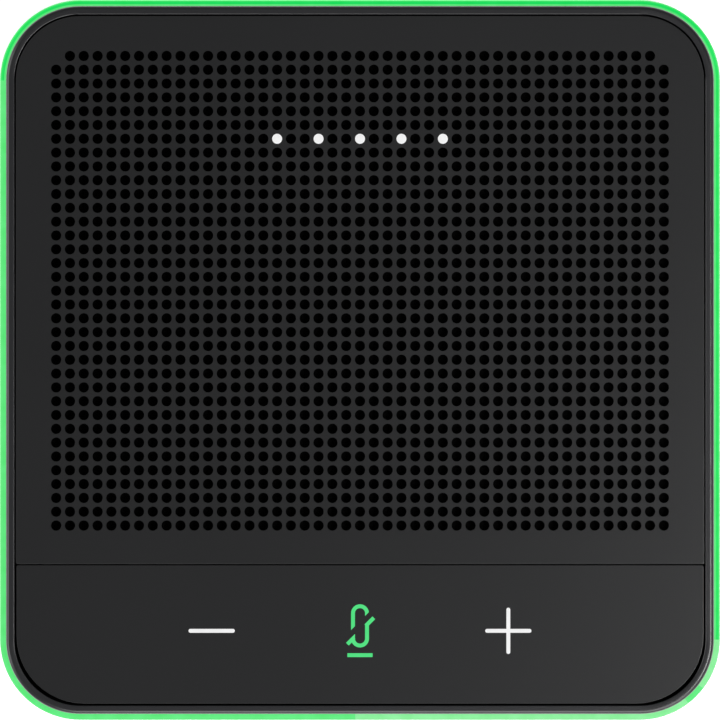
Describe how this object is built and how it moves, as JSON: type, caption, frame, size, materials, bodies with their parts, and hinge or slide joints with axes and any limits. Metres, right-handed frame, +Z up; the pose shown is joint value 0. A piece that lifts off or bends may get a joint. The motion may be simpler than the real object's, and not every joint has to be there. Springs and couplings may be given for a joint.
{
  "type": "conference speakerphone",
  "caption": "Square table-top conference speakerphone with a perforated grille, a rocking key strip, status lights and a light ring round its waist.",
  "frame": {"origin": "on the table, at the middle of the square footprint", "axes": "+X to the user's right, +Y away from the user, +Z up; the key strip is on the -Y side"},
  "size_m": [0.12, 0.12, 0.036],
  "materials": {
    "matte_black_abs": "fine moulded texture",
    "dark_bezel_abs": "satin moulded rim",
    "face_abs": "very fine spark texture",
    "green_diffuser": "translucent, lit from inside",
    "foot_rubber": "matt moulded",
    "label_film": "satin printed film",
    "black_foam": "closed-cell foam",
    "acoustic_mesh": "woven polyester",
    "boot_silicone": "soft silicone",
    "white_abs": "matt light-reflecting",
    "flex_white": "solder-resist film",
    "led_package": "moulded silicone lens",
    "clear_acrylic": "frosted acrylic",
    "black_pipe_holder": "moulded",
    "chamber_abs": "moulded",
    "baffle_abs": "moulded",
    "stamped_steel": "stamped and plated",
    "zinc_plated_steel": "zinc-plated, turned",
    "nickel_neodymium": "nickel-plated sintered magnet",
    "butyl_rubber": "thin moulded roll",
    "phenolic_cloth": "resin-stiffened cloth",
    "phenolic_board": "laminate",
    "cone_paper": "coated paper pulp",
    "kapton": "wound film",
    "copper_wire": "enamelled copper winding",
    "green_laminate": "solder-resist over glass epoxy",
    "chip_epoxy": "moulded epoxy",
    "tinned_steel": "tinned sheet",
    "capacitor_can": "sleeved aluminium can",
    "connector_nylon": "moulded nylon",
    "polyimide_flex": "film circuit",
    "lead_insulation": "extruded silicone",
    "switch_nylon": "moulded",
    "plunger_acetal": "moulded",
    "cradle_nylon": "glass-filled nylon",
    "ground_steel": "ground pin",
    "white_icon_pc": "translucent, lit from below",
    "green_icon_pc": "translucent, lit from below",
    "black_zinc_steel": "black-zinc cross-recess",
    "zinc_screws": "zinc-plated cross-recess"
  },
  "bodies": {
    "housing": {"grille_plate": "face_abs", "base_shell": "matte_black_abs", "top_frame": "dark_bezel_abs", "light_ring": "green_diffuser", "foot_ring": "foot_rubber", "blank_label": "label_film", "grille_gasket": "black_foam", "dust_screen": "acoustic_mesh", "ring_carrier": "white_abs", "ring_led_strip": "flex_white", "ring_leds": "led_package", "speaker_chamber": "chamber_abs", "chamber_gasket": "black_foam", "speaker_baffle": "baffle_abs", "driver_basket": "stamped_steel", "driver_yoke": "zinc_plated_steel", "driver_magnet": "nickel_neodymium", "driver_pole_plate": "zinc_plated_steel", "driver_gasket": "black_foam", "surround": "butyl_rubber", "spider": "phenolic_cloth", "terminal_strip": "phenolic_board", "upper_board": "green_laminate", "status_leds": "led_package", "light_pipe_block": "black_pipe_holder", "status_light_pipes": "clear_acrylic", "mic_capsules": "tinned_steel", "mic_boots": "boot_silicone", "main_board": "green_laminate", "main_processor": "chip_epoxy", "amplifier_chip": "chip_epoxy", "shield_can": "tinned_steel", "board_capacitors": "capacitor_can", "usb_c_socket": "tinned_steel", "board_connectors": "connector_nylon", "key_flex": "polyimide_flex", "upper_flex": "polyimide_flex", "speaker_leads": "lead_insulation", "key_board": "green_laminate", "key_leds": "led_package", "key_light_shroud": "white_abs", "switch_bodies": "switch_nylon", "base_screws": "black_zinc_steel", "baffle_screws": "zinc_screws", "driver_screws": "zinc_screws", "board_screws": "zinc_screws"},
    "cradle": {"key_cradle": "cradle_nylon", "cradle_pins": "ground_steel", "rocker_pins": "ground_steel"},
    "keys": {"key_plate": "face_abs", "icon_minus": "white_icon_pc", "icon_mute": "green_icon_pc", "icon_plus": "white_icon_pc"},
    "cone_assembly": {"cone": "cone_paper", "dust_cap": "cone_paper", "coil_former": "kapton", "voice_coil": "copper_wire"},
    "minus_plunger": {"minus_plunger": "plunger_acetal"},
    "mute_plunger": {"mute_plunger": "plunger_acetal"},
    "plus_plunger": {"plus_plunger": "plunger_acetal"}
  },
  "joints": [
    {"name": "key_dip", "type": "hinge", "parent": "housing", "child": "cradle", "pos_m": [0, -0.0364, 0.0324], "axis": [1, 0, 0], "range_deg": [0, 1.1], "stiffness_Nm_per_rad": 1},
    {"name": "key_rock", "type": "hinge", "parent": "cradle", "child": "keys", "pos_m": [0, -0.0464, 0.0332], "axis": [0, 1, 0], "range_deg": [-0.6, 0.6], "stiffness_Nm_per_rad": 1},
    {"name": "minus_press", "type": "slide", "parent": "housing", "child": "minus_plunger", "axis": [0, 0, 1], "range_m": [-0.00026, 0.00026], "stiffness_N_per_m": 200},
    {"name": "plus_press", "type": "slide", "parent": "housing", "child": "plus_plunger", "axis": [0, 0, 1], "range_m": [-0.00026, 0.00026], "stiffness_N_per_m": 200},
    {"name": "mute_press", "type": "slide", "parent": "housing", "child": "mute_plunger", "axis": [0, 0, 1], "range_m": [-0.000274, 0], "stiffness_N_per_m": 200},
    {"name": "cone_excursion", "type": "slide", "parent": "housing", "child": "cone_assembly", "axis": [0, 0, 1], "range_m": [-0.0012, 0.0012], "stiffness_N_per_m": 500, "deforming": ["surround", "spider"]}
  ],
  "couplings": [
    {"joint": "minus_press", "follows": "key_rock", "m_per_rad": 0.0247},
    {"joint": "plus_press", "follows": "key_rock", "m_per_rad": -0.0247},
    {"joint": "mute_press", "follows": "key_dip", "m_per_rad": -0.0142}
  ]
}
